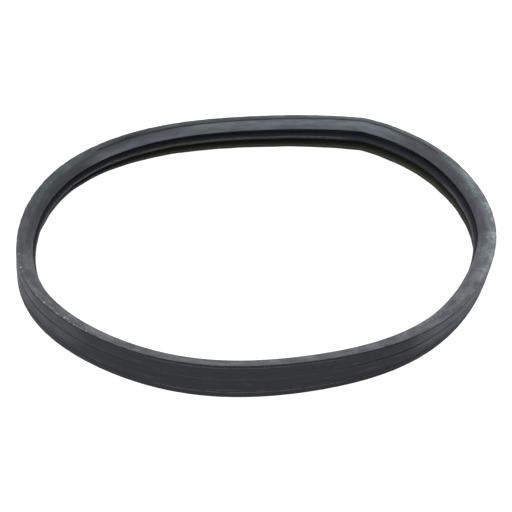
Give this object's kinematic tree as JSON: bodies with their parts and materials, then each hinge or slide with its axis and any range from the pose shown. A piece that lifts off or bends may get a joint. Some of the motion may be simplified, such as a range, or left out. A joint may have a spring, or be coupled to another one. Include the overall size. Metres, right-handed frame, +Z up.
{
  "type": "pressure cooker sealing ring",
  "caption": "Endless moulded black rubber lid gasket lying flat, slightly out of round, with a flat outer wall and lips and a rib facing inwards.",
  "frame": {"origin": "centre of the ring's box, on the plane that the base rests on", "axes": "+Z up through the ring's hole, from the base to the sloped top lip; +X along the ring's slightly longer width"},
  "size_m": [0.2468, 0.2312, 0.0177],
  "materials": {
    "black_rubber": "matte charcoal black moulded rubber with a faint cool sheen, fine mould lines and a little pale bloom"
  },
  "bodies": {
    "root": {"sealing_ring": "black_rubber"}
  },
  "joints": []
}
